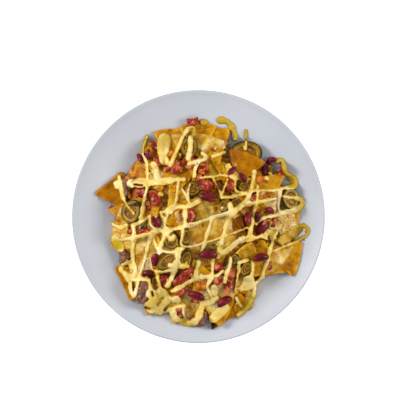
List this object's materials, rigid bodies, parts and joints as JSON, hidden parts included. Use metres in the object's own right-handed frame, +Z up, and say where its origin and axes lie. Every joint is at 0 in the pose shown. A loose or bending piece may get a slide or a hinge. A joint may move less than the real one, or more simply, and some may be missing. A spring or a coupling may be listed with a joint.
{
  "type": "nachos",
  "caption": "Round plate heaped with corn chips under melted cheese, kidney beans, jalapeno slices, diced tomato, meat and drizzled cheese sauce.",
  "frame": {"origin": "middle of the foot ring's underside, on the surface that the plate stands on", "axes": "+Z up out of the plate, +X to the right and +Y away from the diner"},
  "size_m": [0.254, 0.254, 0.0581],
  "materials": {
    "glaze": "glossy white glaze with a faint blue cast",
    "corn": "fried corn, dry and slightly blistered",
    "cheese": "melted cheese, satin and browned in spots",
    "sauce": "pale yellow cheese sauce, satin wet",
    "jalapeno": "pickled green skin and olive flesh, wet",
    "tomato": "cut tomato and red pepper, wet",
    "meat": "cooked shredded meat, fibrous",
    "bean": "dark red kidney bean skin, glossy"
  },
  "bodies": {
    "root": {"plate": "glaze", "chip_heap": "corn", "jalapeno_1": "jalapeno", "jalapeno_2": "jalapeno", "jalapeno_3": "jalapeno", "jalapeno_4": "jalapeno", "jalapeno_5": "jalapeno", "jalapeno_6": "jalapeno", "jalapeno_7": "jalapeno", "jalapeno_8": "jalapeno", "jalapeno_9": "jalapeno", "jalapeno_10": "jalapeno", "jalapeno_11": "jalapeno", "jalapeno_12": "jalapeno", "jalapeno_13": "jalapeno", "jalapeno_14": "jalapeno", "jalapeno_15": "jalapeno", "jalapeno_16": "jalapeno", "tomato_1": "tomato", "tomato_2": "tomato", "tomato_3": "tomato", "tomato_4": "tomato", "tomato_5": "tomato", "tomato_6": "tomato", "tomato_7": "tomato", "tomato_8": "tomato", "tomato_9": "tomato", "tomato_10": "tomato", "tomato_11": "tomato", "tomato_12": "tomato", "tomato_13": "tomato", "tomato_14": "tomato", "tomato_15": "tomato", "tomato_16": "tomato", "tomato_17": "tomato", "tomato_18": "tomato", "tomato_19": "tomato", "tomato_20": "tomato", "meat_1": "meat", "meat_2": "meat", "meat_3": "meat", "meat_4": "meat", "bean_1": "bean", "bean_2": "bean", "bean_3": "bean", "bean_4": "bean", "bean_5": "bean", "bean_6": "bean", "bean_7": "bean", "bean_8": "bean", "bean_9": "bean", "bean_10": "bean", "bean_11": "bean", "bean_12": "bean", "bean_13": "bean", "bean_14": "bean", "bean_15": "bean", "bean_16": "bean", "bean_17": "bean", "bean_18": "bean"}
  },
  "joints": []
}
